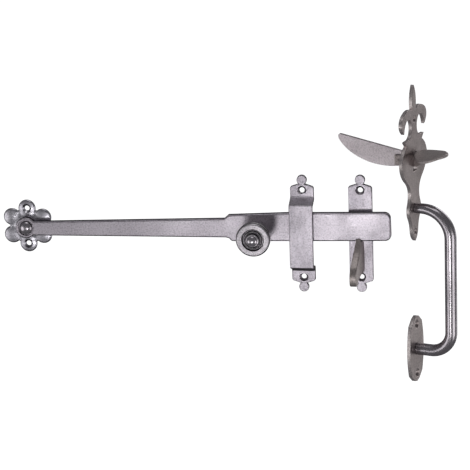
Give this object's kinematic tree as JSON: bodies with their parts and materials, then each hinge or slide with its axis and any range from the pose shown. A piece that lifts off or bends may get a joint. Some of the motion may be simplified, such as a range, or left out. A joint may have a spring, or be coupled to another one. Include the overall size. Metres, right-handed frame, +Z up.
{
  "type": "thumb latch set",
  "caption": "Forged door latch set: pivoted bar with turned knob, bridge keeper, hooked catch, and a D handle with a leaf thumb press and lifting blade.",
  "frame": {"origin": "middle of the rosette's back face, on the latch bar's pivot axis", "axes": "+X along the wall from the rosette towards the catch and the handle, +Y into the wall behind the latch plates, +Z up"},
  "size_m": [0.376, 0.0519, 0.2432],
  "materials": {
    "bar_steel": "pewter-finished wrought steel, satin, lightly brushed along its length",
    "strap_steel": "pewter-finished wrought steel, satin",
    "rosette_steel": "pewter-finished wrought steel, filed edges",
    "turned_steel": "turned and polished steel with a grey patina",
    "handle_steel": "dark patinated wrought steel",
    "rod_steel": "polished round rod with a grey patina"
  },
  "bodies": {
    "fixed_parts": {"rosette_plate": "rosette_steel", "pivot_washer": "rosette_steel", "pivot_rivet": "turned_steel", "keeper_strap": "strap_steel", "catch_plate": "strap_steel", "catch_hook": "handle_steel", "handle_top_plate": "handle_steel", "handle_bottom_plate": "handle_steel", "grip_bar": "rod_steel", "thumb_pin": "handle_steel", "pivot_lug_left": "handle_steel", "pivot_lug_right": "handle_steel"},
    "bar": {"latch_bar": "bar_steel", "knob_stem": "turned_steel", "knob_disc": "turned_steel", "knob_washer": "turned_steel"},
    "thumb_lever": {"thumb_pad": "handle_steel", "lift_blade": "strap_steel", "lever_rivet": "handle_steel"}
  },
  "joints": [
    {"name": "bar_pivot", "type": "hinge", "parent": "fixed_parts", "child": "bar", "pos_m": [0, -0.0067, 0], "axis": [0, -1, 0], "range_deg": [0, 1.1]},
    {"name": "thumb_pivot", "type": "hinge", "parent": "fixed_parts", "child": "thumb_lever", "pos_m": [0.31616, -0.0254, 0.0663], "axis": [0.2756, 0.9613, 0], "range_deg": [0, 18]}
  ]
}
